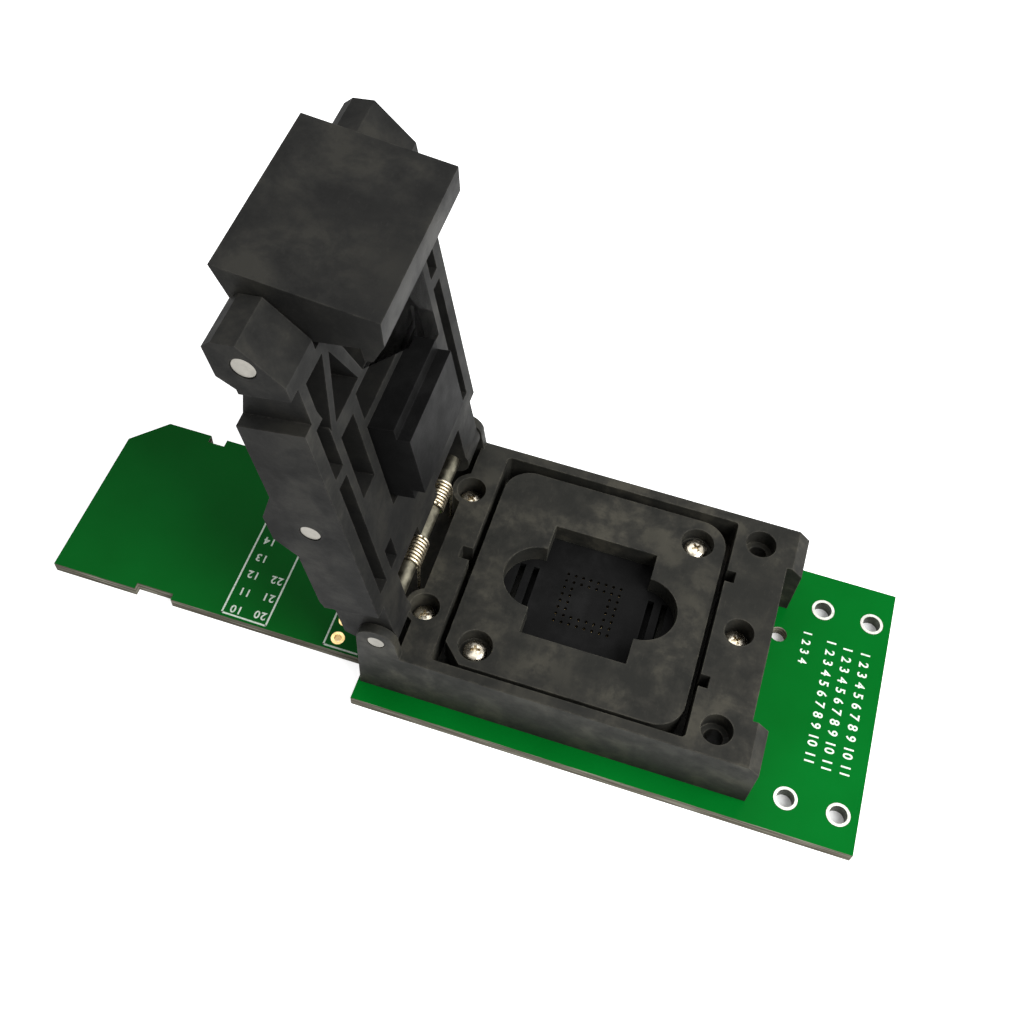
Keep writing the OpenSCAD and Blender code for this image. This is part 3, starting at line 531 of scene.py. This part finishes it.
def wire_piece(name, runs, radius, body, node_name=None):
    """Round wire along each run of points."""
    curve = bpy.data.curves.new(name, "CURVE")
    curve.dimensions = "3D"
    curve.bevel_depth = radius
    curve.bevel_resolution = 3
    curve.use_fill_caps = True
    for run in runs:
        spline = curve.splines.new("POLY")
        spline.points.add(len(run) - 1)
        for point, co in zip(spline.points, run):
            point.co = (*co, 1)
    holder = bpy.data.objects.new(name, curve)
    bpy.context.scene.collection.objects.link(holder)
    bpy.context.view_layer.update()
    mesh = bpy.data.meshes.new_from_object(holder)
    bpy.data.objects.remove(holder)
    bm = bmesh.new()
    bm.from_mesh(mesh)
    bmesh.ops.remove_doubles(bm, verts=bm.verts, dist=1e-7)
    obj = new_piece(name, bm, wire, body)
    if node_name:
        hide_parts(node_name)
    return obj


def coil_points(base, along, across, radius, turns, rise, steps=26):
    """Points of a coil that climbs along one direction from its base."""
    along, across = Vector(along).normalized(), Vector(across).normalized()
    third = along.cross(across)
    n = int(turns * steps)
    return [Vector(base) + across * (radius * math.cos(2 * math.pi * i / steps))
            + third * (radius * math.sin(2 * math.pi * i / steps)) + along * (rise * i / n)
            for i in range(n + 1)]


def joint_at(name):
    return Vector(next(j for j in frame["joints"] if j["name"] == name)["pos_m"])


low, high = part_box("nest_springs")
spring_r, spring_wire_r, spring_turns = 1.0 * MM, 0.16 * MM, 4
wire_piece("nest_coils", [
    coil_points((x, y, low[2] + spring_wire_r), (0, 0, 1), (1, 0, 0),
                spring_r - spring_wire_r, spring_turns, high[2] - low[2] - 2 * spring_wire_r)
    for x in (low[0] + spring_r, high[0] - spring_r) for y in (low[1] + spring_r, high[1] - spring_r)],
    0.15 * MM, "board_and_base", "nest_springs")

hinge = joint_at("lid_hinge")
low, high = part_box("lid_spring")
spring_y = (low[1] + high[1]) / 2
coil_r, wire_r, coil_in = 1.26 * MM, 0.17 * MM, 2.45 * MM
coil_turns = 7 + 1 / 6
coil_rise = high[1] - spring_y - coil_in - wire_r
coil_start = 60                             # degrees round the shaft, at the bridge
tangent = Vector((-math.sin(math.radians(coil_start)), 0, math.cos(math.radians(coil_start))))
feet, bridge = [], []
for s in (1, -1):
    coil = []
    for i in range(int(coil_turns * 30) + 1):
        turn = math.radians(coil_start - 12 * i)
        coil.append(Vector((hinge.x + coil_r * math.cos(turn),
                            spring_y + s * (coil_in + coil_rise * i / (coil_turns * 30)),
                            hinge.z + coil_r * math.sin(turn))))
    foot = [coil[-1] - Vector((0, 0, h * MM)) for h in (0.5, 1.5, 3.0, 4.5)]
    foot.append(Vector((coil[-1].x, coil[-1].y, low[2] + 0.02 * MM)))
    feet.append(coil + foot)
    leg = [coil[0] + tangent * (k * MM) for k in (0, 0.4, 0.75, 0.93)]
    leg.append(coil[0] + tangent * (1.0 * MM) - Vector((0, s * 0.1 * MM, 0)))
    bridge.append(leg)
wire_piece("lid_double_coil", feet, wire_r, "board_and_base", "lid_spring")
wire_piece("lid_spring_bridge", [bridge[0] + bridge[1][::-1]], wire_r, "lid")


# ---------------------------------------------------------------- lid
# The lid is the base's moulding coloured a darker, more even black; the darkening is painted shade.
# It is ribbed and pocketed on its underside. Its side walls show the ground ends of two pins.

dress("lid_frame", shade_darkened_black)
break_edges("lid_frame", 0.14 * MM)
dress("pusher_block", smooth_black)
break_edges("pusher_block", 0.12 * MM)

open_angle = -101
lid_turn = Matrix.Rotation(math.radians(open_angle), 3, "Y")
lid_u, lid_w = lid_turn @ Vector((1, 0, 0)), lid_turn @ Vector((0, 0, 1))
pusher_at = joint_at("pusher_rock")
coil_away, coil_lift, coil_length = 2.15 * MM, 1.05 * MM, 1.8 * MM
wire_piece("pusher_coils", [
    coil_points(pusher_at + lid_u * (s * coil_away) + lid_w * coil_lift, lid_w, (0, 1, 0),
                0.52 * MM, 5, coil_length) for s in (-1, 1)],
    0.12 * MM, "lid", "pusher_springs")


# ---------------------------------------------------------------- latch
# The latch turns on a steel pin between the lid's ears, and its hook drops
# under the ledge at the front of the base.

# the latch also takes the lid's darker moulding colour, which is painted shade
dress("latch", shade_darkened_black)
break_edges("latch", 0.16 * MM)
latch_at = joint_at("latch_pivot")
coil_away, coil_lift, coil_back, coil_length = 6 * MM, 0.6 * MM, 3.57 * MM, 1.84 * MM
wire_piece("latch_coils", [
    coil_points(latch_at + Vector((0, s * coil_away, 0)) + lid_w * coil_lift - lid_u * coil_back,
                lid_u, (0, 1, 0), 0.48 * MM, 4, coil_length) for s in (-1, 1)],
    0.11 * MM, "lid", "latch_springs")


# ---------------------------------------------------------------- table, lights and camera
# A plain pale table, soft lamps and a camera that looks down over the board's
# near edge.

bm = bmesh.new()
bmesh.ops.create_grid(bm, x_segments=1, y_segments=1, size=3)
mesh = bpy.data.meshes.new("table")
bm.to_mesh(mesh)
bm.free()
table = bpy.data.objects.new("table", mesh)
bpy.context.scene.collection.objects.link(table)
table_drop = 0.02 * MM
mesh.transform(Matrix.Translation((0, 0, -table_drop)))
pale, tree, shader, place = start_material("table_top", (0.82, 0.82, 0.82), 0.9, 0.0, 0.1)
shader.inputs["Emission Color"].default_value = (1, 1, 1, 1)


def join(tree, operation, a, b=0.0):
    """One sum of two sources or constants."""
    node = tree.nodes.new("ShaderNodeMath")
    node.operation = operation
    for socket, value in zip(node.inputs, (a, b)):
        if isinstance(value, bpy.types.NodeSocket):
            tree.links.new(value, socket)
        else:
            socket.default_value = value
    return node.outputs[0]


def seen_or_mirrored(tree):
    """1 for rays from the camera or off a shiny face, 0 for the rest."""
    path = tree.nodes.new("ShaderNodeLightPath")
    return join(tree, "MAXIMUM", path.outputs["Is Camera Ray"], path.outputs["Is Glossy Ray"])


table_glow, shaded_glow = 0.8, 0.15
lifted = join(tree, "MULTIPLY", seen_or_mirrored(tree), table_glow)
# shade under the board's wide end, where the open holes look down on the table
across = tree.nodes.new("ShaderNodeSeparateXYZ")
tree.links.new(place, across.inputs[0])
soft_edge = 0.3 * MM
beyond = []
for axis, middle, half in (("X", 42.25 * MM, 6.6 * MM), ("Y", -0.3 * MM, 14.0 * MM)):
    away = join(tree, "ABSOLUTE", join(tree, "SUBTRACT", across.outputs[axis], middle))
    beyond.append(grey(tree, away, half, half + soft_edge))
clear = join(tree, "MAXIMUM", *beyond)
glow = join(tree, "MULTIPLY", lifted, grey(tree, clear, 0, 1, shaded_glow, 1.0))
tree.links.new(glow, shader.inputs["Emission Strength"])
mesh.materials.append(pale)

world = bpy.data.worlds.new("room")
bpy.context.scene.world = world
world.use_nodes = True
back = world.node_tree.nodes["Background"]
back.inputs["Color"].default_value = (1, 1, 1, 1)
soft_light, seen_light = 0.25, 1.0
level = grey(world.node_tree, seen_or_mirrored(world.node_tree), 0, 1, soft_light, seen_light)
world.node_tree.links.new(level, back.inputs["Strength"])


def lamp(name, at, toward, size, power):
    data = bpy.data.lights.new(name, "AREA")
    data.size = size
    data.energy = power
    obj = bpy.data.objects.new(name, data)
    bpy.context.scene.collection.objects.link(obj)
    obj.location = at
    obj.rotation_euler = (Vector(toward) - Vector(at)).to_track_quat("-Z", "Y").to_euler()


lamp("window", (0.20, -0.06, 0.20), (0.03, 0, 0.01), 0.2, 1.2)
lamp("ceiling", (-0.1, 0.2, 0.6), (0, 0, 0.02), 0.5, 1.0)

camera_data = bpy.data.cameras.new("camera")
camera = bpy.data.objects.new("camera", camera_data)
bpy.context.scene.collection.objects.link(camera)
camera_data.sensor_width = 36
camera_data.lens = 45.686
camera_at = (0.020235, -0.073892, 0.139137)
camera_data.clip_start = 0.005
camera_data.clip_end = 20
right = Vector((0.952636, 0.300047, 0.049573))
ahead = Vector((-0.125015, 0.534969, -0.835572))
upward = right.cross(ahead)
camera.matrix_world = Matrix((
    (right.x, upward.x, -ahead.x, camera_at[0]),
    (right.y, upward.y, -ahead.y, camera_at[1]),
    (right.z, upward.z, -ahead.z, camera_at[2]),
    (0, 0, 0, 1)))
bpy.context.scene.camera = camera
bpy.context.scene.view_settings.view_transform = "Standard"
